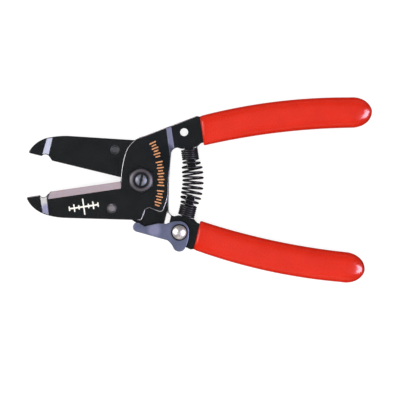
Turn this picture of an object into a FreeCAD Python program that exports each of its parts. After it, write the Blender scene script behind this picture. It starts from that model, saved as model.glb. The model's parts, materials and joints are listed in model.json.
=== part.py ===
import FreeCAD, Part
import math
import os
from FreeCAD import Vector

# Wire stripper and cutter plier, in millimetres, in its spring-open pose.
#
# Two identical steel stampings cross at a shouldered screw. The back one is the
# front one turned over. Z = 0 is the plane the tool lies on, which is the outer
# face of the screw's head, the pivot axis is the Z axis, and X runs from the
# pivot towards the handles along the line that the two cutting edges share when
# the jaws are shut.
#
# One stamping is drawn in its own flat frame: its cutting line along X, its jaw
# towards -X and below the line, its handle towards +X and above it, and the
# shear plane at z = 0.

# sheet and layers
SHEET = 2.4                # thickness of the stamped steel
LAYER_GAP = 0.1            # running gap between the two hubs
MID_Z = 5.0                # height of the shear plane
OPEN_HALF_ANGLE = 10.95    # each stamping's turn from shut to open
HUB_Z = LAYER_GAP / 2      # inner face of a hub
HUB_TOP = HUB_Z + SHEET    # outer face of a hub

# bends along the length of a stamping
NOSE_BEND_START = -47.1
NOSE_BEND_END = -44.1
HANDLE_BEND_START = 14.75
HANDLE_BEND_END = 17.1
BEND_R = 1.6

# jaw
NOSE_TIP_X = -53.3
NOSE_FACE_Y = -0.05        # the flat noses stop just short of each other
BLADE_Y = 0.9              # the blades pass the cutting line by this much
BLADE_START_X = -42.1
BLADE_END_X = -9.3
BEVEL_WIDTH = 3.3          # ground face, across the blade
BEVEL_LAND = 0.35          # thickness left at the cutting edge
BEVEL_START_X = -43.0
BEVEL_END_X = -9.4
NOTCH_DEPTH = 1.2          # relief between the blade and the nose
DIMPLE_X = -15.2
DIMPLE_Y = -10.8
DIMPLE_R = 1.6
DIMPLE_HEIGHT = 0.35
DIMPLE_ROOT = 0.5          # how far its raised disc starts inside the sheet

# pivot
SHOULDER_R = 3.4
THREAD_R = 2.9
RUNNING_CLEARANCE = 0.04
HEAD_R = 5.6
HEAD_RIM_R = 0.6
NUT_ACROSS_FLATS = 10.6
NUT_HEIGHT = 2.5
NUT_TURN = 5.0             # degrees from X to the normal of one flat
NUT_MOUTH_R = 3.7          # countersink round the screw end
NUT_MOUTH_DEPTH = 1.1
NUT_CROWN_DROP = 1.3       # fall of the domed top from mouth to corner
NUT_CROWN_BULGE = (0.3, 0.15)    # how far the dome bows out and up from a straight cone
NUT_RIM_SPARE = 0.1        # the dome's profile runs this far past the corners
SLOT_WIDTH = 1.1
SLOT_DEPTH = 1.0
SLOT_TURN = -9.0           # degrees from Y
SCREW_END_BELOW_NUT = 0.2
SCREW_END_CROWN = 0.8

# handle
RIVET_HOLE_X = 22.6
RIVET_HOLE_Y = 19.1
RIVET_HOLE_R = 1.85
HOLE_CHAMFER = 0.25
TANG_INSET = 1.3           # grip wall over the edges of the handle

# grips
GRIP_T = 2 * MID_Z
GRIP_EDGE_R = 3.8

# return spring
WIRE_R = 0.45
SPRING_END_R = 3.5         # mean coil radius of the closed end turns
SPRING_MID_R = 4.5         # mean coil radius half way along
COIL_LEAN = 0.17           # how far the top of a full-size turn leans along the axis
CLOSED_TURNS = 5
CLOSED_PITCH = 0.95
ACTIVE_TURNS = 10
SEAT_Y = 11.6              # edge that a spring end stands on
SEAT_GAP = 0.1             # between that edge and the first turn
SWELL_SHARE = 0.45         # part of each half over which the coil grows to full size
PRONG_X = 23.8             # prong axis
PRONG_ROOT_HALF = 2.4
PRONG_TIP_HALF = 2.1
PRONG_TIP_Y = 1.0

# lock lever
LEVER_T = 1.6
LEVER_GAP = 0.05
LEVER_EYE_R = 5.2
LEVER_RUNNING_CLEARANCE = 0.05
WASHER_R = 3.8
WASHER_T = 0.4
RIVET_HEAD_R = 3.2
RIVET_HEAD_H = 1.5
RIVET_TAIL_R = 2.8
RIVET_TAIL_H = 0.9
RIVET_SHANK_GAP = 0.02

# cutters and blanks
PAST = 1.0                 # how far a cutter runs past the faces it cuts
BLANK_HALF_WIDTH = 40.0    # the sheet before the outline is cut from it
BLANK_END_X = 130.0
BLANK_NOSE_SPARE = 5.0

UP = Vector(0, 0, 1)


def point(xy, z=0.0):
    """A 3-D point from an (x, y) pair."""
    return Vector(xy[0], xy[1], z)


def outline(start, *steps):
    """A closed wire: a step of one point is a line, and a step of two points is
    an arc through the first to the second."""
    edges = []
    here = start
    for step in steps:
        if len(step) == 2 and isinstance(step[0], tuple):
            edges.append(Part.Arc(point(here), point(step[0]), point(step[1])).toShape())
            here = step[1]
        else:
            edges.append(Part.makeLine(point(here), point(step)))
            here = step
    return Part.Wire(edges)


def plate(wire, bottom, top):
    """The solid under a closed wire, from one height to another."""
    face = Part.Face(wire)
    face.translate(Vector(0, 0, bottom))
    return face.extrude(Vector(0, 0, top - bottom))


def disc(radius, bottom, top, x=0.0, y=0.0):
    """An upright cylinder between two heights."""
    return Part.makeCylinder(radius, top - bottom, Vector(x, y, bottom), UP)


def largest(shape):
    """The biggest solid of a boolean result."""
    return max(shape.Solids, key=lambda solid: solid.Volume)


def stamping_outline():
    """The flat blank: jaw, hub, spring prong and handle."""
    notch_floor = NOSE_FACE_Y - NOTCH_DEPTH
    return outline(
        (NOSE_TIP_X + 0.5, NOSE_FACE_Y),
        ((NOSE_TIP_X + 0.1, NOSE_FACE_Y - 0.3), (NOSE_TIP_X, NOSE_FACE_Y - 0.9)),
        # curved outer edge of the nose, then the straight back of the jaw
        ((-50.8, -5.4), (-46.9, -8.65)),
        ((-42.2, -10.7), (-36.8, -12.1)),
        (-2.6, -18.1),
        # catch face and pocket for the lock lever
        (-0.8, -15.2),
        ((0.2, -13.6), (1.9, -13.15)),
        (5.6, -15.2),
        # stop corner, then the inner edge of the hub beside the spring
        ((7.2, -15.5), (8.6, -14.0)),
        ((10.7, -9.9), (12.0, -4.0)),
        (15.2, 10.0),
        ((16.4, 11.9), (18.5, 12.5)),
        (20.4, SEAT_Y),
        (PRONG_X - PRONG_ROOT_HALF, SEAT_Y),
        # prong that the spring end stands on
        (PRONG_X - PRONG_TIP_HALF, PRONG_TIP_Y + 1.0),
        ((PRONG_X, PRONG_TIP_Y), (PRONG_X + PRONG_TIP_HALF, PRONG_TIP_Y + 1.0)),
        (PRONG_X + PRONG_ROOT_HALF, SEAT_Y),
        (27.6, SEAT_Y),
        (29.4, 12.9),
        # handle inside the grip
        (33.0, 12.2 + TANG_INSET),
        ((67.0, 12.6 + TANG_INSET), (101.0, 9.9 + TANG_INSET)),
        ((107.6, 16.2), (101.0, 23.9 - TANG_INSET)),
        ((67.0, 26.9 - TANG_INSET), (33.0, 25.5 - TANG_INSET)),
        # outer edge of the handle and the round shoulder of the hub
        (29.4, 25.6),
        (4.5, 19.9),
        ((-1.6, 17.8), (-5.7, 12.8)),
        ((-7.8, 7.4), (BLADE_END_X, BLADE_Y)),
        # cutting edge, relief notch and nose face
        (BLADE_START_X, BLADE_Y),
        (NOSE_BEND_END, notch_floor + 0.4),
        ((NOSE_BEND_END - 1.4, notch_floor), (NOSE_BEND_START, NOSE_FACE_Y - 0.5)),
        (NOSE_BEND_START, NOSE_FACE_Y),
        (NOSE_TIP_X + 0.5, NOSE_FACE_Y),
    )


def bent_sheet():
    """A sheet wider than the blank, with the hub in its own layer and the nose and
    handle bent back to straddle the shear plane."""
    half = SHEET / 2
    lower = [
        (NOSE_TIP_X - BLANK_NOSE_SPARE, -half),
        (NOSE_BEND_START, -half),
        (NOSE_BEND_END, HUB_Z),
        (HANDLE_BEND_START, HUB_Z),
        (HANDLE_BEND_END, -half),
        (BLANK_END_X, -half),
    ]
    upper = [(x, z + SHEET) for x, z in reversed(lower)]
    corners = [Vector(x, -BLANK_HALF_WIDTH, z) for x, z in lower + upper]
    face = Part.Face(Part.makePolygon(corners + corners[:1]))
    sheet = face.extrude(Vector(0, 2 * BLANK_HALF_WIDTH, 0))
    bends = [
        edge
        for edge in sheet.Edges
        if edge.BoundBox.YLength > BLANK_HALF_WIDTH
        and NOSE_TIP_X < edge.BoundBox.XMin < (HANDLE_BEND_END + BLANK_END_X) / 2
    ]
    return sheet.makeFillet(BEND_R, bends)


def blade_bevel():
    """The wedge ground off the outer face along the cutting edge."""
    slope = (SHEET - BEVEL_LAND) / BEVEL_WIDTH
    foot_y = BLADE_Y - BEVEL_WIDTH
    edge_y = BLADE_Y + PAST / 2
    section = [
        (foot_y - PAST / slope, HUB_TOP + PAST),
        (edge_y, HUB_Z + BEVEL_LAND - (edge_y - BLADE_Y) * slope),
        (edge_y, HUB_TOP + PAST),
    ]
    corners = [Vector(BEVEL_START_X, y, z) for y, z in section]
    face = Part.Face(Part.makePolygon(corners + corners[:1]))
    return face.extrude(Vector(BEVEL_END_X - BEVEL_START_X, 0, 0))


def chamfered_hole(x, y, radius, bottom, top):
    """A cutter for a through hole with a small chamfer at both rims."""
    hole = disc(radius, bottom - PAST, top + PAST, x, y)
    length = HOLE_CHAMFER + PAST
    upper = Part.makeCone(radius, radius + length, length, Vector(x, y, top - HOLE_CHAMFER), UP)
    lower = Part.makeCone(radius, radius + length, length, Vector(x, y, bottom + HOLE_CHAMFER), -UP)
    return hole.fuse(upper).fuse(lower)


def stamping(hub_bore):
    """One steel half in its flat frame."""
    shape = bent_sheet().common(plate(stamping_outline(), -SHEET - PAST, HUB_TOP + PAST))
    shape = shape.cut(blade_bevel())
    shape = shape.cut(disc(hub_bore, HUB_Z - PAST, HUB_TOP + PAST))
    half = SHEET / 2
    shape = shape.cut(chamfered_hole(RIVET_HOLE_X, RIVET_HOLE_Y, RIVET_HOLE_R, -half, half))
    # half-sheared locating dimple: proud on the outer face, sunk in the inner one
    shape = shape.cut(disc(DIMPLE_R, HUB_Z - PAST, HUB_Z + DIMPLE_HEIGHT, DIMPLE_X, DIMPLE_Y))
    proud_from = HUB_TOP - DIMPLE_ROOT
    shape = shape.fuse(disc(DIMPLE_R, proud_from, HUB_TOP + DIMPLE_HEIGHT, DIMPLE_X, DIMPLE_Y))
    return largest(shape.removeSplitter())


def grip(steel):
    """A dipped vinyl grip round the handle of one stamping, in the flat frame.
    One smooth curve runs along the inner edge, round the end and back."""
    mouth_inner = (30.9, 11.6)
    mouth_outer = (30.9, 25.3)
    inner_edge = [(50.0, 12.7), (67.0, 12.6), (84.0, 11.7), (100.0, 10.0), (106.4, 11.8)]
    outer_edge = [(106.5, 21.9), (100.0, 24.0), (84.0, 25.8), (67.0, 26.8), (50.0, 26.8)]
    end = [(109.4, 16.5)]
    curve = Part.BSplineCurve()
    curve.interpolate([point(xy) for xy in [mouth_inner] + inner_edge + end + outer_edge + [mouth_outer]])
    mouth = Part.makeLine(point(mouth_outer), point(mouth_inner))
    wire = Part.Wire([curve.toShape(), mouth])
    body = plate(wire, -GRIP_T / 2, GRIP_T / 2)
    long_edges = [
        edge
        for edge in body.Edges
        if edge.BoundBox.ZLength < 0.01 and edge.BoundBox.XLength > 0.01
    ]
    body = body.makeFillet(GRIP_EDGE_R, long_edges)
    return largest(body.cut(steel))


def place_front(shape):
    """Turn a shape from the flat frame to the front half's open pose."""
    placed = shape.copy()
    placed.rotate(Vector(), UP, OPEN_HALF_ANGLE)
    placed.translate(Vector(0, 0, MID_Z))
    return placed


def place_back(shape):
    """Turn a shape over and to the back half's open pose."""
    placed = shape.copy()
    placed.rotate(Vector(), Vector(1, 0, 0), 180)
    placed.rotate(Vector(), UP, -OPEN_HALF_ANGLE)
    placed.translate(Vector(0, 0, MID_Z))
    return placed


def place_on_back_handle(shape):
    """Move a shape drawn about the lever's own pivot onto the back handle."""
    angle = math.radians(-OPEN_HALF_ANGLE)
    x = RIVET_HOLE_X * math.cos(angle) + RIVET_HOLE_Y * math.sin(angle)
    y = RIVET_HOLE_X * math.sin(angle) - RIVET_HOLE_Y * math.cos(angle)
    placed = shape.copy()
    placed.translate(Vector(x, y, MID_Z))
    return placed


def pivot_screw():
    """Shouldered screw: flat round head behind the back hub, shoulder through both
    hubs, and a domed, slotted end that shows inside the nut."""
    head_top = MID_Z - HUB_TOP - LAYER_GAP / 2
    shoulder_top = MID_Z + HUB_TOP
    end_top = shoulder_top + NUT_HEIGHT - SCREW_END_BELOW_NUT
    head = disc(HEAD_R, 0, head_top)
    rim = [edge for edge in head.Edges if edge.BoundBox.ZMax < 0.01]
    head = head.makeFillet(HEAD_RIM_R, rim)
    shank = disc(SHOULDER_R, head_top, shoulder_top)
    end_base = end_top - SCREW_END_CROWN
    thread = disc(THREAD_R, shoulder_top, end_base)
    screw = head.fuse(shank).fuse(thread).fuse(dome(THREAD_R, SCREW_END_CROWN, end_base))
    slot = Part.makeBox(SLOT_WIDTH, 4 * THREAD_R, SLOT_DEPTH + PAST)
    slot.translate(Vector(-SLOT_WIDTH / 2, -2 * THREAD_R, end_top - SLOT_DEPTH))
    slot.rotate(Vector(), UP, SLOT_TURN)
    return largest(screw.cut(slot).removeSplitter())


def pivot_nut():
    """Hexagon nut on the front hub, with a domed top and a countersunk mouth."""
    bottom = MID_Z + HUB_TOP
    top = bottom + NUT_HEIGHT
    corner_r = NUT_ACROSS_FLATS / 2 / math.cos(math.pi / 6)
    corners = []
    for k in range(6):
        angle = math.radians(NUT_TURN + 30 + 60 * k)
        corners.append(Vector(corner_r * math.cos(angle), corner_r * math.sin(angle), bottom))
    prism = Part.Face(Part.makePolygon(corners + corners[:1])).extrude(Vector(0, 0, NUT_HEIGHT))
    rim_r = corner_r + NUT_RIM_SPARE
    rim_z = top - NUT_CROWN_DROP
    crown_mid = (
        (NUT_MOUTH_R + corner_r) / 2 + NUT_CROWN_BULGE[0],
        (top + rim_z) / 2 + NUT_CROWN_BULGE[1],
    )
    profile = Part.Wire([
        Part.makeLine(Vector(THREAD_R, 0, bottom), Vector(rim_r, 0, bottom)),
        Part.makeLine(Vector(rim_r, 0, bottom), Vector(rim_r, 0, rim_z)),
        Part.Arc(
            Vector(rim_r, 0, rim_z),
            Vector(crown_mid[0], 0, crown_mid[1]),
            Vector(NUT_MOUTH_R, 0, top),
        ).toShape(),
        Part.makeLine(Vector(NUT_MOUTH_R, 0, top), Vector(THREAD_R, 0, top - NUT_MOUTH_DEPTH)),
        Part.makeLine(Vector(THREAD_R, 0, top - NUT_MOUTH_DEPTH), Vector(THREAD_R, 0, bottom)),
    ])
    crown = Part.Face(profile).revolve(Vector(), UP, 360)
    return largest(prism.common(crown))


def lever():
    """Lock lever about its own pivot: round eye, thumb lobe and hooked arm."""
    bottom = SHEET / 2 + LEVER_GAP
    wire = outline(
        (-0.3, LEVER_EYE_R),
        ((3.3, 3.5), (4.3, 0.2)),
        # thumb lobe
        ((4.1, -3.7), (2.9, -7.2)),
        ((0.2, -8.8), (-2.3, -7.5)),
        ((-3.2, -5.9), (-5.3, -3.9)),
        # lower edge of the arm, then the round end and its hook
        (-19.5, -0.6),
        ((-21.4, 1.2), (-20.2, 3.5)),
        (-18.8, 3.5),
        (-16.1, 2.0),
        (-9.9, 3.7),
        (-6.2, 3.6),
        ((-3.6, 4.7), (-0.3, LEVER_EYE_R)),
    )
    shape = plate(wire, bottom, bottom + LEVER_T)
    hole_r = RIVET_HOLE_R + LEVER_RUNNING_CLEARANCE
    return largest(shape.cut(disc(hole_r, bottom - PAST, bottom + LEVER_T + PAST)))


def lever_washer():
    """Spring washer between the lever and the rivet head."""
    bottom = SHEET / 2 + LEVER_GAP + LEVER_T + LEVER_GAP
    ring = disc(WASHER_R, bottom, bottom + WASHER_T)
    return largest(ring.cut(disc(RIVET_HOLE_R, bottom - PAST, bottom + WASHER_T + PAST)))


def dome(radius, height, base):
    """A spherical cap standing on a height, or hanging from it if height is negative."""
    rise = abs(height)
    ball_r = (radius * radius + rise * rise) / (2 * rise)
    centre = base + math.copysign(1, height) * (rise - ball_r)
    ball = Part.makeSphere(ball_r, Vector(0, 0, centre))
    if height > 0:
        keep = disc(radius + PAST, base, base + height + PAST)
    else:
        keep = disc(radius + PAST, base + height - PAST, base)
    return ball.common(keep)


def lever_rivet():
    """Rivet with a domed head in front and a lower dome behind the handle."""
    head_base = SHEET / 2 + 2 * LEVER_GAP + LEVER_T + WASHER_T
    head = dome(RIVET_HEAD_R, RIVET_HEAD_H, head_base)
    tail = dome(RIVET_TAIL_R, -RIVET_TAIL_H, -SHEET / 2)
    shank = disc(RIVET_HOLE_R - RIVET_SHANK_GAP, -SHEET / 2, head_base)
    return largest(head.fuse(shank).fuse(tail).removeSplitter())


def spring_axis(distance):
    """Point and direction on the bowed spring axis, in the tool frame at mid height.
    It runs straight along one prong, round an arc, and straight along the other."""
    angle = math.radians(OPEN_HALF_ANGLE)
    straight = SEAT_Y - PRONG_TIP_Y
    tip = Vector(
        PRONG_X * math.cos(angle) - PRONG_TIP_Y * math.sin(angle),
        PRONG_X * math.sin(angle) + PRONG_TIP_Y * math.cos(angle),
        0,
    )
    arc_r = tip.y / math.sin(angle)
    arc_length = 2 * arc_r * angle
    if distance < straight:
        direction = Vector(math.sin(angle), -math.cos(angle), 0)
        return tip - direction * (straight - distance), direction
    if distance > straight + arc_length:
        direction = Vector(-math.sin(angle), -math.cos(angle), 0)
        far_tip = Vector(tip.x, -tip.y, 0)
        return far_tip + direction * (distance - straight - arc_length), direction
    turn = angle - (distance - straight) / arc_r
    centre_x = tip.x - arc_r * math.cos(angle)
    place = Vector(centre_x + arc_r * math.cos(turn), arc_r * math.sin(turn), 0)
    return place, Vector(math.sin(turn), -math.cos(turn), 0)


def spring_length():
    """Length of the bowed axis from seat to seat."""
    angle = math.radians(OPEN_HALF_ANGLE)
    tip_y = PRONG_X * math.sin(angle) + PRONG_TIP_Y * math.cos(angle)
    return 2 * (SEAT_Y - PRONG_TIP_Y) + 2 * tip_y * angle / math.sin(angle)


def turns_to_distance(turns):
    """Distance along the spring axis at a number of turns from the first end."""
    first = WIRE_R + SEAT_GAP
    closed = CLOSED_TURNS * CLOSED_PITCH
    active = spring_length() - 2 * (first + closed)
    if turns < CLOSED_TURNS:
        return first + turns * CLOSED_PITCH
    if turns > CLOSED_TURNS + ACTIVE_TURNS:
        return first + closed + active + (turns - CLOSED_TURNS - ACTIVE_TURNS) * CLOSED_PITCH
    return first + closed + active * (turns - CLOSED_TURNS) / ACTIVE_TURNS


def coil_radius(distance):
    """Mean coil radius: slim at the closed ends and fuller in the middle."""
    closed_end = WIRE_R + CLOSED_TURNS * CLOSED_PITCH
    middle = spring_length() / 2
    inward = min(distance, 2 * middle - distance) - closed_end
    share = min(max(inward / (SWELL_SHARE * (middle - closed_end)), 0.0), 1.0)
    smooth = share * share * (3 - 2 * share)
    return SPRING_END_R + (SPRING_MID_R - SPRING_END_R) * smooth


def return_spring():
    """Coil spring on the two prongs: one round wire swept along a bowed helix."""
    points_per_turn = 16
    total_turns = 2 * CLOSED_TURNS + ACTIVE_TURNS
    points = []
    for step in range(total_turns * points_per_turn + 1):
        turns = step / points_per_turn
        distance = turns_to_distance(turns)
        centre, direction = spring_axis(distance)
        outward = Vector(-direction.y, direction.x, 0)
        phase = 2 * math.pi * turns
        radius = coil_radius(distance)
        fullness = (radius - SPRING_END_R) / (SPRING_MID_R - SPRING_END_R)
        spoke = outward * (radius * math.cos(phase)) - UP * (radius * math.sin(phase))
        lean = direction * (-COIL_LEAN * fullness * math.sin(phase))
        points.append(centre + spoke + lean + UP * MID_Z)
    curve = Part.BSplineCurve()
    curve.interpolate(points)
    path = Part.Wire([curve.toShape()])
    section = Part.Wire([Part.makeCircle(WIRE_R, points[0], curve.tangent(0)[0])])
    return largest(path.makePipeShell([section], True, True))


def build():
    """Every sub-part by node name."""
    front_flat = stamping(SHOULDER_R)
    back_flat = stamping(SHOULDER_R + RUNNING_CLEARANCE)
    return {
        "front_half": place_front(front_flat),
        "back_half": place_back(back_flat),
        "upper_grip": place_front(grip(front_flat)),
        "lower_grip": place_back(grip(back_flat)),
        "pivot_screw": pivot_screw(),
        "pivot_nut": pivot_nut(),
        "return_spring": return_spring(),
        "lock_lever": place_on_back_handle(lever()),
        "lever_washer": place_on_back_handle(lever_washer()),
        "lever_rivet": place_on_back_handle(lever_rivet()),
    }


os.makedirs("parts", exist_ok=True)
for node, shape in build().items():
    shape.exportStep("parts/" + node + ".step")
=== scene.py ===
"""Looks of a small wire stripper and cutter plier lying on a pale floor.

Two identical black steel stampings cross at the pivot. Each is described in its own
flat frame (cutting line along X, jaw towards -X, handle towards +X and +Y), which
front_place and back_place turn into the model's frame.
"""

import json
import math

import bpy
from mathutils import Matrix, Vector


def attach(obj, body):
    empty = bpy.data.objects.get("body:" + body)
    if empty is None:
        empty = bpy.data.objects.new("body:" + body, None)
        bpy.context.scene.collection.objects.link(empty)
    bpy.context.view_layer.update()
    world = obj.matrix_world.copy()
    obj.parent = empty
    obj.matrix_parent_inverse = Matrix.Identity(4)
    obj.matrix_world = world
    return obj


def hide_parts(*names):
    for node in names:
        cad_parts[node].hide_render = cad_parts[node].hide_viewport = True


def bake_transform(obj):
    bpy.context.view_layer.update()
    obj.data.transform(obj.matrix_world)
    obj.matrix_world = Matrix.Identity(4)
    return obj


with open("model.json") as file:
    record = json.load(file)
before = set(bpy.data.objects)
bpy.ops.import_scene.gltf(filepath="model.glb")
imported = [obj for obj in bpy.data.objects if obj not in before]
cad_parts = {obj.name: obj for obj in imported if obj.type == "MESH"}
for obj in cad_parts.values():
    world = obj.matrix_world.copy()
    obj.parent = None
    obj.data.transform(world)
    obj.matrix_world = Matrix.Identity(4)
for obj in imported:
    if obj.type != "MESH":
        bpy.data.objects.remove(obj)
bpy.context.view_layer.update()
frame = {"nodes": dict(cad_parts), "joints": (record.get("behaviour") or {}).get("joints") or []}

MM = 0.001
OPEN_HALF_ANGLE = math.radians(10.95)      # each stamping's turn from shut to open
HUB_TOP = 2.45                             # outer face of a hub above the shear plane, mm
joints = {joint["name"]: joint for joint in frame["joints"]}
SHEAR_Z = joints["jaw_pivot"]["pos_m"][2]
cad_nodes = frame["nodes"]


# ---------------------------------------------------------------- places

def front_place(x, y, z):
    """A point of the front stamping's flat frame (mm), in the model's frame (m)."""
    turned = Matrix.Rotation(OPEN_HALF_ANGLE, 3, "Z") @ Vector((x * MM, y * MM, z * MM))
    return turned + Vector((0, 0, SHEAR_Z))


def back_place(x, y, z):
    """The same for the back stamping, which is turned over."""
    turned = Matrix.Rotation(-OPEN_HALF_ANGLE, 3, "Z") @ Vector((x * MM, -y * MM, -z * MM))
    return turned + Vector((0, 0, SHEAR_Z))


def direction(place, x, y, z):
    """A direction of a flat frame, in the model's frame."""
    return (place(x, y, z) - place(0, 0, 0)).normalized()


# ---------------------------------------------------------------- node helpers

class Surface:
    """A material under construction: it adds and links shader nodes."""

    def __init__(self, name):
        self.material = bpy.data.materials.new(name)
        self.material.use_nodes = True
        self.tree = self.material.node_tree
        self.shader = self.tree.nodes["Principled BSDF"]
        self.place = self.add("ShaderNodeTexCoord").outputs["Object"]
        self.normal = self.tree.nodes["Texture Coordinate"].outputs["Normal"]

    def add(self, kind, **values):
        node = self.tree.nodes.new(kind)
        for name, value in values.items():
            setattr(node, name, value)
        return node

    def link(self, source, target):
        self.tree.links.new(source, target)

    def noise(self, size, detail=4.0, roughness=0.55, stretch=(1, 1, 1)):
        """Noise with features of about `size` metres, from 0 to 1."""
        mapping = self.add("ShaderNodeMapping")
        mapping.inputs["Scale"].default_value = stretch
        self.link(self.place, mapping.inputs["Vector"])
        noise = self.add("ShaderNodeTexNoise")
        noise.inputs["Scale"].default_value = 1 / size
        noise.inputs["Detail"].default_value = detail
        noise.inputs["Roughness"].default_value = roughness
        self.link(mapping.outputs["Vector"], noise.inputs["Vector"])
        return noise.outputs["Fac"]

    def ramp(self, factor, low, high, at_low, at_high):
        """Map a factor to a number, clamped."""
        node = self.add("ShaderNodeMapRange")
        node.inputs["From Min"].default_value = low
        node.inputs["From Max"].default_value = high
        node.inputs["To Min"].default_value = at_low
        node.inputs["To Max"].default_value = at_high
        self.link(factor, node.inputs["Value"])
        return node.outputs["Result"]

    def mix(self, factor, first, second):
        """Mix two colours, each a tuple or an output."""
        node = self.add("ShaderNodeMix", data_type="RGBA")
        self.link(factor, node.inputs["Factor"])
        for value, socket in ((first, node.inputs["A"]), (second, node.inputs["B"])):
            if isinstance(value, tuple):
                socket.default_value = value + (1.0,)
            else:
                self.link(value, socket)
        return node.outputs["Result"]

    def multiply(self, first, second):
        """The product of two number outputs."""
        node = self.add("ShaderNodeMath", operation="MULTIPLY")
        self.link(first, node.inputs[0])
        self.link(second, node.inputs[1])
        return node.outputs["Value"]

    def facing(self, direction, sharpness=0.03):
        """1 where the surface looks along a direction of the model, 0 elsewhere."""
        dot = self.add("ShaderNodeVectorMath", operation="DOT_PRODUCT")
        self.link(self.normal, dot.inputs[0])
        dot.inputs[1].default_value = direction
        return self.ramp(dot.outputs["Value"], 1 - sharpness, 1 - sharpness / 2, 0.0, 1.0)

    def near(self, centre, radius, soft):
        """1 inside a ball of the model, 0 outside."""
        distance = self.add("ShaderNodeVectorMath", operation="DISTANCE")
        self.link(self.place, distance.inputs[0])
        distance.inputs[1].default_value = centre
        return self.ramp(distance.outputs["Value"], radius, radius + soft, 1.0, 0.0)

    def tilted(self, outward):
        """1 on rounded edges, 0 on faces that look nearly straight along `outward` or
        across it."""
        dot = self.add("ShaderNodeVectorMath", operation="DOT_PRODUCT")
        self.link(self.normal, dot.inputs[0])
        dot.inputs[1].default_value = outward
        rounded = self.ramp(dot.outputs["Value"], 0.94, 0.98, 1.0, 0.0)
        return self.multiply(rounded, self.ramp(dot.outputs["Value"], 0.05, 0.15, 0.0, 1.0))

    def blend(self, factor, first, second):
        """Go from a number output to a plain number."""
        node = self.add("ShaderNodeMix", data_type="FLOAT")
        self.link(factor, node.inputs["Factor"])
        self.link(first, node.inputs["A"])
        node.inputs["B"].default_value = second
        return node.outputs["Result"]

    def bump(self, height, strength, distance):
        """Raise the surface by a height output."""
        node = self.add("ShaderNodeBump")
        node.inputs["Strength"].default_value = strength
        node.inputs["Distance"].default_value = distance
        self.link(height, node.inputs["Height"])
        self.link(node.outputs["Normal"], self.shader.inputs["Normal"])


def set_material(obj, material):
    obj.data.materials.clear()
    obj.data.materials.append(material)


# ---------------------------------------------------------------- materials

PLAIN = (1.0, 1.0, 1.0)                      # a reflection tint that changes nothing
BEVEL_SLOPE = 2.05 / 3.3                     # fall of the ground face across its width
# places and radii on the stampings, flat frame, mm
DIMPLE_TOP = (-15.2, -10.8, 2.8)
DIMPLE_TOP_R = 1.45
DIMPLE_MIDDLE = (-15.2, -10.8, 1.4)
DIMPLE_DULL_R = 2.3
HANDLE_BEND = (16.0, 16.0, 1.2)
HANDLE_BEND_R = 10.0
DULL_ROUGH = 0.55
BEND_ROUGH = 0.37
RUBBED = (0.105, 0.090, 0.095)
RUST = (0.66, 0.34, 0.22)
# places on the hub's rounded edge painted paler, as worn finish and painted highlight: centre, radius
# and colour
SCUFF_AND_HIGHLIGHT = (0.13, 0.12, 0.135)
BARE_AND_HIGHLIGHT = (0.38, 0.35, 0.38)
WORN_AND_LIT_EDGES = [((4.8, -13.2, 2.4), 7.5, SCUFF_AND_HIGHLIGHT), ((-1.5, -16.4, 2.4), 2.4, BARE_AND_HIGHLIGHT),
              ((8.4, -13.1, 2.4), 3.6, BARE_AND_HIGHLIGHT), ((-7.0, 11.6, 2.4), 9.0, BARE_AND_HIGHLIGHT)]
# places where reflections are dimmed and tinted, as painted shade: centre, radius, soft border and
# tint. A centre well off the sheet keeps the ball to the outer face.
SHADED_REFLECTION_PLACES = [((-45.7, -7.0, 3.3), 2.2, 1.5, (0.55, 0.55, 0.85)),
               ((16.0, 16.0, 40.0), 39.5, 0.4, (0.82, 0.82, 1.0)),
               ((15.5, 8.5, 12.0), 10.95, 0.9, (0.30, 0.30, 0.38)),
               ((24.0, 19.0, -5.0), 6.0, 1.5, (0.40, 0.42, 0.44))]


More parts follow.
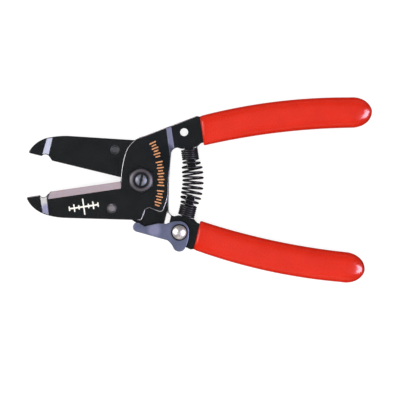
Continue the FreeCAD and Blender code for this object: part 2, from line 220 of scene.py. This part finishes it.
def black_steel(name, place):
    """Black oxide sheet, with the ground cutting bevel bare, the dimple rubbed, the rounded edges
    of the hub paler as worn finish and painted highlight, and reflections dimmed in places as
    painted shade. `place` puts a point of the flat frame in the model."""
    n = Surface(name)
    blotch = n.noise(6 * MM, 5.0, 0.6)
    grain = n.noise(0.5 * MM, 3.0, 0.6)
    cover = n.ramp(blotch, 0.3, 0.7, 0.0, 1.0)
    oxide = n.mix(cover, (0.0060, 0.0075, 0.0083), (0.0082, 0.0098, 0.0108))
    scratches = n.noise(0.35 * MM, 2.0, 0.5, stretch=(0.12, 1.0, 1.0))
    ground = n.mix(scratches, (0.40, 0.33, 0.38), (0.56, 0.47, 0.53))
    specks = n.ramp(n.noise(0.7 * MM, 2.0, 0.5), 0.60, 0.68, 0.0, 0.55)
    ground = n.mix(specks, ground, RUST)
    bare = n.facing(direction(place, 0, BEVEL_SLOPE, 1))
    colour = n.mix(bare, oxide, ground)
    rubbed_and_lit_spot = n.near(place(*DIMPLE_TOP), DIMPLE_TOP_R * MM, 0.3 * MM)
    colour = n.mix(rubbed_and_lit_spot, colour, RUBBED)
    edge = n.tilted(direction(place, 0, 0, 1))
    # paler rounded hub edges: worn finish and painted highlight
    for centre, radius, paler in WORN_AND_LIT_EDGES:
        worn_and_lit = n.multiply(edge, n.near(place(*centre), radius * MM, 0.8 * MM))
        colour = n.mix(worn_and_lit, colour, paler)
    n.link(colour, n.shader.inputs["Base Color"])
    # painted shade: reflections dimmed and tinted in listed places
    tint = PLAIN
    for centre, radius, soft, shaded_to in SHADED_REFLECTION_PLACES:
        tint = n.mix(n.near(place(*centre), radius * MM, soft * MM), tint, shaded_to)
    n.link(tint, n.shader.inputs["Specular Tint"])
    n.link(n.ramp(bare, 0.0, 1.0, 0.0, 0.15), n.shader.inputs["Metallic"])
    polish = n.ramp(blotch, 0.2, 0.8, 0.17, 0.23)
    dulled = n.near(place(*DIMPLE_MIDDLE), DIMPLE_DULL_R * MM, 0.3 * MM)
    bend = n.multiply(edge, n.near(place(*HANDLE_BEND), HANDLE_BEND_R * MM, 0.5 * MM))
    satin = n.blend(bend, n.blend(dulled, polish, DULL_ROUGH), BEND_ROUGH)
    n.link(satin, n.shader.inputs["Roughness"])
    n.shader.inputs["Specular IOR Level"].default_value = 1.0
    n.bump(grain, 0.10, 0.01 * MM)
    return n.material


TIP_GLOSS_R = 6.0                            # glossy place round the tip, mm
TIP_GLOSS_SOFT = 4.0


def red_vinyl(name, tip):
    """Dipped vinyl, glossier round the middle of its closed end, where the dip drained."""
    n = Surface(name)
    mottle = n.noise(9 * MM, 3.0, 0.5)
    skin = n.noise(0.45 * MM, 3.0, 0.55)
    colour = n.mix(n.ramp(mottle, 0.3, 0.7, 0.0, 1.0), (0.55, 0.015, 0.004), (0.60, 0.018, 0.005))
    n.link(colour, n.shader.inputs["Base Color"])
    glossy = n.near(tip, TIP_GLOSS_R * MM, TIP_GLOSS_SOFT * MM)
    body_rough = n.ramp(skin, 0.3, 0.7, 0.24, 0.34)
    n.link(n.blend(glossy, body_rough, 0.20), n.shader.inputs["Roughness"])
    n.link(n.ramp(glossy, 0.0, 1.0, 0.18, 0.60), n.shader.inputs["Specular IOR Level"])
    n.bump(skin, 0.10, 0.03 * MM)
    return n.material


METAL_SHARE = 0.85          # the rest is a thin dull film that scatters light


def metal(name, dark, light, low_rough, high_rough, size, rubbed_and_lit_spot=None):
    """A bare or plated metal with a soft grain, and a painted highlight spot if one is given
    as its centre, its radius and its colour."""
    n = Surface(name)
    patch = n.noise(size, 4.0, 0.5)
    fine = n.noise(0.25 * MM, 2.0, 0.5)
    colour = n.mix(n.ramp(patch, 0.3, 0.7, 0.0, 1.0), dark, light)
    # painted highlight spot
    if rubbed_and_lit_spot:
        centre, radius, paler = rubbed_and_lit_spot
        colour = n.mix(n.near(centre, radius, radius), colour, paler)
    n.link(colour, n.shader.inputs["Base Color"])
    n.shader.inputs["Metallic"].default_value = METAL_SHARE
    n.link(n.ramp(patch, 0.2, 0.8, low_rough, high_rough), n.shader.inputs["Roughness"])
    n.bump(fine, 0.08, 0.01 * MM)
    return n.material


# reflections past the highlight band are dimmed by this tint, as painted shade
PAST_BAND_SHADE_TINT = (0.25, 0.25, 0.27)
# painted shade: the slot is painted darker below this height
SLOT_SHADE_Z = (8.95, 9.05)                   # the slot is dark below this height, mm


def blackened(name, dark, light, highlight_band=None):
    """Blackened hardware, with a painted highlight band between two distances (in metres) from
    the pivot axis if they are given with its colour. Past the band its reflections are dimmed,
    as painted shade, and below a height the slot is painted dark, as shade."""
    n = Surface(name)
    patch = n.noise(1.2 * MM, 4.0, 0.55)
    fine = n.noise(0.25 * MM, 2.0, 0.5)
    colour = n.mix(n.ramp(patch, 0.3, 0.7, 0.0, 1.0), dark, light)
    # painted highlight band round the pivot axis
    if highlight_band:
        inner, outer, worn_and_lit = highlight_band
        soft = 0.25 * MM
        flattened = n.add("ShaderNodeVectorMath", operation="MULTIPLY")
        flattened.inputs[1].default_value = (1, 1, 0)
        n.link(n.place, flattened.inputs[0])
        distance = n.add("ShaderNodeVectorMath", operation="LENGTH")
        n.link(flattened.outputs["Vector"], distance.inputs[0])
        outside_inner = n.ramp(distance.outputs["Value"], inner - soft, inner + soft, 0.0, 1.0)
        inside_outer = n.ramp(distance.outputs["Value"], outer - soft, outer + soft, 1.0, 0.0)
        colour = n.mix(n.multiply(outside_inner, inside_outer), colour, worn_and_lit)
        # painted shade: reflections past the band are dimmed
        past = n.ramp(distance.outputs["Value"], outer, outer + 2 * soft, 0.0, 1.0)
        n.link(n.mix(past, PLAIN, PAST_BAND_SHADE_TINT), n.shader.inputs["Specular Tint"])
    # painted shade in the slot: darker below a height
    split = n.add("ShaderNodeSeparateXYZ")
    n.link(n.place, split.inputs["Vector"])
    slot_shade = n.ramp(split.outputs["Z"], SLOT_SHADE_Z[0] * MM, SLOT_SHADE_Z[1] * MM, 1.0, 0.0)
    colour = n.mix(slot_shade, colour, dark)
    n.link(colour, n.shader.inputs["Base Color"])
    n.shader.inputs["Metallic"].default_value = 0.25
    n.link(n.ramp(patch, 0.2, 0.8, 0.38, 0.50), n.shader.inputs["Roughness"])
    n.bump(fine, 0.10, 0.01 * MM)
    return n.material


def printed_ink(name, thin, full):
    """Pad-printed ink, a little uneven."""
    n = Surface(name)
    cover = n.noise(0.5 * MM, 3.0, 0.6)
    n.link(n.mix(n.ramp(cover, 0.3, 0.6, 0.0, 1.0), thin, full), n.shader.inputs["Base Color"])
    n.link(n.ramp(cover, 0.2, 0.8, 0.45, 0.6), n.shader.inputs["Roughness"])
    n.bump(cover, 0.15, 0.01 * MM)
    return n.material


def floor_white():
    n = Surface("floor_white")
    paper = n.noise(2 * MM, 3.0, 0.5)
    n.link(n.mix(paper, (0.34, 0.34, 0.34), (0.36, 0.36, 0.36)), n.shader.inputs["Base Color"])
    n.shader.inputs["Roughness"].default_value = 0.9
    n.shader.inputs["Specular IOR Level"].default_value = 0.1
    n.shader.inputs["Emission Color"].default_value = (1.0, 1.0, 1.0, 1.0)
    n.shader.inputs["Emission Strength"].default_value = 0.75
    return n.material


# ---------------------------------------------------------------- mesh helpers

def mesh_object(name, points, faces, smooth=True):
    mesh = bpy.data.meshes.new(name)
    mesh.from_pydata([tuple(p) for p in points], [], faces)
    mesh.update()
    if smooth:
        mesh.shade_smooth()
    else:
        mesh.shade_flat()
    obj = bpy.data.objects.new(name, mesh)
    bpy.context.scene.collection.objects.link(obj)
    return obj


def tube_faces(rings, sides):
    """Quads between neighbouring rings of points."""
    faces = []
    for ring in range(rings - 1):
        for side in range(sides):
            a = ring * sides + side
            b = ring * sides + (side + 1) % sides
            faces.append((a, b, b + sides, a + sides))
    return faces


def tube_object(name, rings):
    """A closed tube through rings of points, with flat ends."""
    sides = len(rings[0])
    faces = tube_faces(len(rings), sides)
    last = (len(rings) - 1) * sides
    faces.append(tuple(range(last, last + sides)))
    faces.append(tuple(reversed(range(sides))))
    return mesh_object(name, [point for ring in rings for point in ring], faces)


SAME_POINT = 0.001 * MM
FLAT_WITHIN = math.radians(0.5)
CREASE = math.radians(20)


def soften_edges(node, width, sharper_than=35):
    """Round the edges of a CAD node that turn by more than an angle in degrees, for the
    light to catch."""
    obj = cad_nodes[node]
    weld = obj.modifiers.new("weld", "WELD")
    weld.merge_threshold = SAME_POINT
    flat = obj.modifiers.new("flat_faces", "DECIMATE")
    flat.decimate_type = "DISSOLVE"
    flat.angle_limit = FLAT_WITHIN
    obj.modifiers.new("triangles", "TRIANGULATE")
    bevel = obj.modifiers.new("edges", "BEVEL")
    bevel.width = width
    bevel.segments = 6
    bevel.limit_method = "ANGLE"
    bevel.angle_limit = math.radians(sharper_than)
    bevel.use_clamp_overlap = False
    bevel.loop_slide = False
    split = obj.modifiers.new("creases", "EDGE_SPLIT")
    split.split_angle = CREASE
    shade = obj.modifiers.new("flat_shading", "WEIGHTED_NORMAL")
    shade.weight = 100
    shade.keep_sharp = True


# ---------------------------------------------------------------- steel halves and hardware

def dress_steel():
    for node, place in (("front_half", front_place), ("back_half", back_place)):
        set_material(cad_nodes[node], black_steel("black_oxide_" + node, place))
        # the cutting edges stay sharp: they are less than a right angle
        soften_edges(node, 0.4 * MM, sharper_than=65)


def dress_hardware():
    # a painted highlight patch on the lever: centre, radius and colour
    lever_highlight = ((7.0 * MM, -22.5 * MM, 7.8 * MM), 1.8 * MM, (0.31, 0.31, 0.45))
    lever = metal("lever_steel", (0.150, 0.172, 0.252), (0.195, 0.210, 0.310), 0.40, 0.50,
                  5 * MM, lever_highlight)
    chrome = metal("rivet_chrome", (0.82, 0.76, 0.74), (0.92, 0.88, 0.87), 0.32, 0.40, 2 * MM)
    # painted highlight bands: inner and outer radius, and colour
    ring = (3.95 * MM, 5.0 * MM, (0.072, 0.063, 0.073))
    dome = (0.95 * MM, 2.6 * MM, (0.135, 0.142, 0.175))
    nut = blackened("pivot_nut", (0.012, 0.013, 0.016), (0.020, 0.021, 0.025), ring)
    screw = blackened("pivot_screw", (0.010, 0.011, 0.014), (0.016, 0.017, 0.020), dome)
    washer = metal("washer_black", (0.012, 0.012, 0.014), (0.025, 0.025, 0.028), 0.35, 0.5, 1 * MM)
    set_material(cad_nodes["lock_lever"], lever)
    set_material(cad_nodes["lever_rivet"], chrome)
    set_material(cad_nodes["lever_washer"], washer)
    set_material(cad_nodes["pivot_nut"], nut)
    set_material(cad_nodes["pivot_screw"], screw)
    soften_edges("lock_lever", 0.25 * MM)
    soften_edges("pivot_nut", 0.1 * MM)
    soften_edges("pivot_screw", 0.15 * MM)
    soften_edges("lever_washer", 0.1 * MM)


# ---------------------------------------------------------------- grips

GRIP_MOUTH_X = 30.7
GRIP_BODY_X = GRIP_MOUTH_X + 1.4           # where the rolled lip has run into the body
GRIP_ROUND_X = 100.0                       # where the round end begins
GRIP_END_X = 109.3
GRIP_HALF_T = 5.0
# inner and outer edge: greatest distance from the cutting line, bow, and where that is
GRIP_EDGES = ((12.75, 0.00155, 57), (26.95, 0.0019, 60))
GRIP_MOUTH_SHARE = 0.80                    # of the full thickness, at the mouth
GRIP_SWELL_LENGTH = 14.0
GRIP_END_POWER = 2.1                       # its outline: 2 is a plain ellipse
GRIP_END_FULLNESS = 0.42                   # below 1 its top and bottom stay flatter than its outline
GRIP_END_SHIFT = 0.45                      # the end leans towards the other handle
GRIP_SQUARENESS = 2.7                      # superellipse power of a section
GRIP_END_SQUARENESS = 2.0
GRIP_SIDES = 64
# the rolled lip, from inside the mouth out to the body: distance past the mouth, and
# how much narrower than the body it is; then its half thickness inside the mouth
LIP_INSIDE = [(3.0, 0.95, 1.30), (0.6, 0.90, 1.35), (0.1, 0.75, 1.70)]
# and outside: distance past the mouth, how much narrower, how much thinner
LIP_OUTSIDE = [(0.0, 0.45, 0.90), (0.25, 0.16, 0.35), (0.7, 0.03, 0.08)]


def grip_edges(x):
    """Inner and outer edge of a grip at a place along the handle, in mm. Both edges are
    gentle parabolas."""
    return tuple(top - bow * (x - crest) ** 2 for top, bow, crest in GRIP_EDGES)


def grip_section(x):
    """Centre, half width and half thickness of a grip's outer skin."""
    inner, outer = grip_edges(min(x, GRIP_ROUND_X))
    centre = (inner + outer) / 2
    half_width = (outer - inner) / 2
    swell = min((x - GRIP_MOUTH_X) / GRIP_SWELL_LENGTH, 1.0)
    thick_share = GRIP_MOUTH_SHARE + (1 - GRIP_MOUTH_SHARE) * math.sin(swell * math.pi / 2)
    half_thick = GRIP_HALF_T * thick_share
    if x > GRIP_ROUND_X:
        share = min((x - GRIP_ROUND_X) / (GRIP_END_X - GRIP_ROUND_X), 1.0)
        shrink = math.sqrt(max(1 - share ** GRIP_END_POWER, 0.0))
        half_width *= shrink
        half_thick *= shrink ** GRIP_END_FULLNESS
        centre -= GRIP_END_SHIFT * share
    return centre, half_width, half_thick


def section_ring(place, x, centre, half_width, half_thick, power=GRIP_SQUARENESS):
    """Points of a superellipse across the handle."""
    ring = []
    for side in range(GRIP_SIDES):
        angle = 2 * math.pi * side / GRIP_SIDES
        c, s = math.cos(angle), math.sin(angle)
        y = centre + half_width * math.copysign(abs(c) ** (2 / power), c)
        z = half_thick * math.copysign(abs(s) ** (2 / power), s)
        ring.append(place(x, y, z))
    return ring


def make_grip(name, place, body, node):
    """Dipped vinyl sleeve: a rolled mouth, a crowned length and a round end."""
    rings = []
    centre, width, thick = grip_section(GRIP_MOUTH_X)
    for past, narrower, half_thick in LIP_INSIDE:
        rings.append(section_ring(place, GRIP_MOUTH_X + past, centre, width - narrower, half_thick))
    for past, narrower, thinner in LIP_OUTSIDE:
        x = GRIP_MOUTH_X + past
        rings.append(section_ring(place, x, centre, width - narrower, thick - thinner))
    body_steps = 60
    for step in range(body_steps + 1):
        x = GRIP_BODY_X + (GRIP_ROUND_X - GRIP_BODY_X) * step / body_steps
        rings.append(section_ring(place, x, *grip_section(x)))
    end_steps = 22
    nearly_all = 0.9998                      # the last ring keeps a little width
    for step in range(1, end_steps + 1):
        share = min(math.sin(step / end_steps * math.pi / 2), nearly_all)
        x = GRIP_ROUND_X + (GRIP_END_X - GRIP_ROUND_X) * share
        power = GRIP_SQUARENESS + (GRIP_END_SQUARENESS - GRIP_SQUARENESS) * step / end_steps
        rings.append(section_ring(place, x, *grip_section(x), power))
    obj = tube_object(name, rings)
    tip = place(GRIP_END_X, grip_section(GRIP_END_X)[0], 0)
    set_material(obj, red_vinyl("vinyl_" + name, tip))
    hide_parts(node)
    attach(obj, body)


# ---------------------------------------------------------------- return spring

WIRE_R = 0.45
SPRING_END_R = 3.5
SPRING_MID_R = 4.5
COIL_LEAN = 0.17
CLOSED_TURNS = 5
CLOSED_PITCH = 0.95
ACTIVE_TURNS = 10
SEAT_Y = 11.6
PRONG_X = 23.8
PRONG_TIP_Y = 1.0
SEAT_GAP = 0.1             # between the seat and the first turn
SWELL_SHARE = 0.45         # part of each half over which the coil grows to full size
UP = Vector((0, 0, 1))


def spring_axis(distance):
    """Point and direction on the bowed spring axis, in mm at mid height: along one
    prong, round an arc, and along the other."""
    angle = OPEN_HALF_ANGLE
    straight = SEAT_Y - PRONG_TIP_Y
    tip_x = PRONG_X * math.cos(angle) - PRONG_TIP_Y * math.sin(angle)
    tip_y = PRONG_X * math.sin(angle) + PRONG_TIP_Y * math.cos(angle)
    arc_r = tip_y / math.sin(angle)
    arc_length = 2 * arc_r * angle
    if distance < straight:
        along = Vector((math.sin(angle), -math.cos(angle), 0))
        return Vector((tip_x, tip_y, 0)) - along * (straight - distance), along
    if distance > straight + arc_length:
        along = Vector((-math.sin(angle), -math.cos(angle), 0))
        return Vector((tip_x, -tip_y, 0)) + along * (distance - straight - arc_length), along
    turn = angle - (distance - straight) / arc_r
    centre_x = tip_x - arc_r * math.cos(angle)
    place = Vector((centre_x + arc_r * math.cos(turn), arc_r * math.sin(turn), 0))
    return place, Vector((math.sin(turn), -math.cos(turn), 0))


def spring_length():
    """Length of the bowed axis from seat to seat."""
    angle = OPEN_HALF_ANGLE
    tip_y = PRONG_X * math.sin(angle) + PRONG_TIP_Y * math.cos(angle)
    return 2 * (SEAT_Y - PRONG_TIP_Y) + 2 * tip_y * angle / math.sin(angle)


def turns_to_distance(turns):
    """Distance along the axis at a number of turns: close turns at both ends."""
    first = WIRE_R + SEAT_GAP
    closed = CLOSED_TURNS * CLOSED_PITCH
    active = spring_length() - 2 * (first + closed)
    if turns < CLOSED_TURNS:
        return first + turns * CLOSED_PITCH
    if turns > CLOSED_TURNS + ACTIVE_TURNS:
        return first + closed + active + (turns - CLOSED_TURNS - ACTIVE_TURNS) * CLOSED_PITCH
    return first + closed + active * (turns - CLOSED_TURNS) / ACTIVE_TURNS


def coil_radius(distance):
    """Mean coil radius: slim at the ends and fuller in the middle."""
    closed_end = WIRE_R + CLOSED_TURNS * CLOSED_PITCH
    middle = spring_length() / 2
    inward = min(distance, 2 * middle - distance) - closed_end
    share = min(max(inward / (SWELL_SHARE * (middle - closed_end)), 0.0), 1.0)
    return SPRING_END_R + (SPRING_MID_R - SPRING_END_R) * share * share * (3 - 2 * share)


def wire_line(steps_per_turn):
    """Points along the middle of the wire, each with the direction away from the axis."""
    line = []
    for step in range((2 * CLOSED_TURNS + ACTIVE_TURNS) * steps_per_turn + 1):
        turns = step / steps_per_turn
        distance = turns_to_distance(turns)
        centre, along = spring_axis(distance)
        outward = Vector((-along.y, along.x, 0))
        phase = 2 * math.pi * turns
        radius = coil_radius(distance)
        fullness = (radius - SPRING_END_R) / (SPRING_MID_R - SPRING_END_R)
        spoke = outward * math.cos(phase) - UP * math.sin(phase)
        lean = along * (-COIL_LEAN * fullness * math.sin(phase))
        line.append((centre + spoke * radius + lean, spoke))
    return line


def make_spring():
    """One round wire wound along the bowed axis, standing on both halves."""
    line = wire_line(steps_per_turn=36)
    sides = 12
    lift = UP * SHEAR_Z
    rings = []
    for index, (here, spoke) in enumerate(line):
        before = line[max(index - 1, 0)][0]
        after = line[min(index + 1, len(line) - 1)][0]
        across = (after - before).normalized().cross(spoke).normalized()
        ring = []
        for side in range(sides):
            angle = 2 * math.pi * side / sides
            rim = here + (spoke * math.cos(angle) + across * math.sin(angle)) * WIRE_R
            ring.append(rim * MM + lift)
        rings.append(ring)
    obj = tube_object("coil_spring", rings)
    wire = metal("spring_wire", (0.026, 0.024, 0.027), (0.050, 0.046, 0.053), 0.40, 0.48, 1.5 * MM)
    set_material(obj, wire)
    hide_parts("return_spring")
    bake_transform(obj)


# ---------------------------------------------------------------- printed marks

INK_LIFT = 0.01            # ink above the steel, mm
INK_T = 0.03
LONG_TICK = 3.3
SHORT_TICK = 2.3
TICK_WIDTH = 0.62
SCALE_R = 39.6             # arc that the tick centres lie on, mm
SCALE_CENTRE = (-30.5, -1.3)
SCALE_START = 28.1         # degrees
SCALE_PITCH = 1.95
SCALE_GAP = 0.9            # in pitches, between two groups of ticks
SCALE_GROUPS = (6, 9, 6)
GAUGE_LEFT = -34.4         # flat frame, mm
GAUGE_RIGHT = -21.2
GAUGE_Y = -8.2
GAUGE_LINE_WIDTH = 0.7
GAUGE_TICK_WIDTH = 0.6
GAUGE_TICKS = (2.2, 3.6, 2.2, 7.6, 2.2, 3.6, 2.2)


def ink_bar(points, faces, centre, along, length, width, lift=INK_LIFT):
    """Add one printed bar with rounded ends to a mesh under construction, in mm."""
    side = (-along[1], along[0])
    first = len(points)
    outline = []
    steps = 5
    for end in (1, -1):
        for k in range(steps + 1):
            angle = -math.pi / 2 + math.pi * k / steps
            u = end * (length / 2 - width / 2 + width / 2 * math.cos(angle))
            v = end * width / 2 * math.sin(angle)
            outline.append((centre[0] + along[0] * u + side[0] * v,
                            centre[1] + along[1] * u + side[1] * v))
    base = HUB_TOP + lift
    for z in (base, base + INK_T):
        points.extend((x, y, z) for x, y in outline)
    count = len(outline)
    faces.append(tuple(first + count + k for k in range(count)))
    faces.append(tuple(first + k for k in reversed(range(count))))
    for k in range(count):
        a, b = first + k, first + (k + 1) % count
        faces.append((a, b, b + count, a + count))


def ink_object(name, points, faces, material):
    placed = [Vector((x * MM, y * MM, z * MM + SHEAR_Z)) for x, y, z in points]
    obj = mesh_object(name, placed, faces, smooth=False)
    set_material(obj, material)
    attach(obj, "front")
    return obj


def make_copper_scale():
    """Graduation ticks in three groups down an arc of the hub, beside the pivot nut."""
    points, faces = [], []
    place = 0
    for size in SCALE_GROUPS:
        for k in range(size):
            angle = math.radians(SCALE_START - place * SCALE_PITCH)
            outward = (math.cos(angle), math.sin(angle))
            middle = (SCALE_CENTRE[0] + SCALE_R * outward[0],
                      SCALE_CENTRE[1] + SCALE_R * outward[1])
            length = LONG_TICK if k % 2 == 0 else SHORT_TICK
            ink_bar(points, faces, middle, outward, length, TICK_WIDTH)
            place += 1
        place += SCALE_GAP
    ink = printed_ink("copper_ink", (0.30, 0.12, 0.045), (0.62, 0.27, 0.10))
    return ink_object("copper_scale", points, faces, ink)


def make_white_gauge():
    """A strip-length gauge printed on the front jaw: a line with cross ticks."""
    points, faces = [], []
    along = math.cos(OPEN_HALF_ANGLE), math.sin(OPEN_HALF_ANGLE)
    across = (-along[1], along[0])

    def jaw(x, y):
        return x * along[0] + y * across[0], x * along[1] + y * across[1]

    length = GAUGE_RIGHT - GAUGE_LEFT
    middle = jaw((GAUGE_LEFT + GAUGE_RIGHT) / 2, GAUGE_Y)
    ink_bar(points, faces, middle, along, length, GAUGE_LINE_WIDTH)
    for k, height in enumerate(GAUGE_TICKS):
        x = GAUGE_LEFT + length * k / (len(GAUGE_TICKS) - 1)
        ink_bar(points, faces, jaw(x, GAUGE_Y), across, height, GAUGE_TICK_WIDTH, 2 * INK_LIFT)
    ink = printed_ink("white_ink", (0.62, 0.60, 0.55), (0.86, 0.85, 0.80))
    return ink_object("white_gauge", points, faces, ink)


# ---------------------------------------------------------------- stage

def area_light(name, place, target, size, brightness, colour):
    """A rectangular light: its width lies level and its height faces the target."""
    light = bpy.data.lights.new(name, "AREA")
    light.shape = "RECTANGLE"
    light.size = size[0]
    light.size_y = size[1]
    light.energy = brightness * math.pi * size[0] * size[1]
    light.color = colour
    obj = bpy.data.objects.new(name, light)
    obj.location = place
    obj.rotation_euler = (Vector(target) - Vector(place)).to_track_quat("-Z", "Y").to_euler()
    bpy.context.scene.collection.objects.link(obj)
    return obj


def make_stage():
    """A pale floor, soft side lights, low fills and a dim dome."""
    half = 1.2
    corners = [(-half, -half, 0), (half, -half, 0), (half, half, 0), (-half, half, 0)]
    floor = mesh_object("floor", corners, [(0, 1, 2, 3)])
    floor.visible_glossy = False
    floor.visible_diffuse = False
    set_material(floor, floor_white())
    aim = (0, 0, 0)
    left = area_light("left_light", (-0.77, 0.10, 0.62), aim, (0.54, 0.50), 12.6, (1.0, 0.98, 0.99))
    right = area_light("right_light", (0.73, -0.10, 0.67), aim, (0.60, 0.48), 15.8, (0.77, 0.78, 1.0))
    left.visible_diffuse = False
    right.visible_diffuse = False
    area_light("left_card", (-0.97, 0, 0.22), aim, (1.2, 0.36), 0.5, (1.0, 0.98, 0.98))
    area_light("right_card", (0.97, 0, 0.22), aim, (1.2, 0.36), 0.5, (0.95, 0.94, 1.0))
    area_light("front_card", (0, -0.97, 0.30), aim, (0.9, 0.36), 0.9, (1.0, 0.88, 0.80))
    overhead = area_light("overhead", (0, -0.25, 0.97), aim, (0.5, 2.4), 4.9, (1.0, 0.98, 0.98))
    overhead.visible_glossy = False
    back_fill = area_light("back_fill", (0, 0.90, 0.36), aim, (1.6, 0.5), 2.5, (1.0, 0.98, 0.98))
    back_fill.visible_glossy = False
    front_fill = area_light("front_fill", (0, -0.90, 0.24), aim, (1.6, 0.4), 2.2, (1.0, 0.98, 0.98))
    front_fill.visible_glossy = False
    world = bpy.data.worlds.new("studio")
    world.use_nodes = True
    tree = world.node_tree
    dim = tree.nodes["Background"]
    dim.inputs["Color"].default_value = (1.0, 1.0, 1.0, 1.0)
    dim.inputs["Strength"].default_value = 0.05
    pale = tree.nodes.new("ShaderNodeBackground")
    pale.inputs["Color"].default_value = (0.95, 0.95, 0.95, 1.0)
    rays = tree.nodes.new("ShaderNodeLightPath")
    either = tree.nodes.new("ShaderNodeMixShader")
    tree.links.new(rays.outputs["Is Camera Ray"], either.inputs["Fac"])
    tree.links.new(dim.outputs["Background"], either.inputs[1])
    tree.links.new(pale.outputs["Background"], either.inputs[2])
    tree.links.new(either.outputs["Shader"], tree.nodes["World Output"].inputs["Surface"])
    bpy.context.scene.world = world
    bpy.context.scene.view_settings.view_transform = "Standard"


SEEN_WIDTH = 0.184                           # of the plane of the tool, in metres
VIEW_CENTRE = (0.0273, -0.0078)
VIEW_TURN = math.radians(2.65)


def make_camera():
    """Straight above, turned a little about the view line."""
    data = bpy.data.cameras.new("camera")
    data.lens = 110
    data.sensor_width = 36
    camera = bpy.data.objects.new("camera", data)
    distance = SEEN_WIDTH * data.lens / data.sensor_width
    camera.location = (VIEW_CENTRE[0], VIEW_CENTRE[1], SHEAR_Z + distance)
    camera.rotation_euler = (0, 0, VIEW_TURN)
    bpy.context.scene.collection.objects.link(camera)
    bpy.context.scene.camera = camera


# ---------------------------------------------------------------- build

make_camera()
make_stage()
dress_steel()
dress_hardware()
make_grip("grip_upper", front_place, "front", "upper_grip")
make_grip("grip_lower", back_place, "back", "lower_grip")
make_spring()
make_copper_scale()
make_white_gauge()
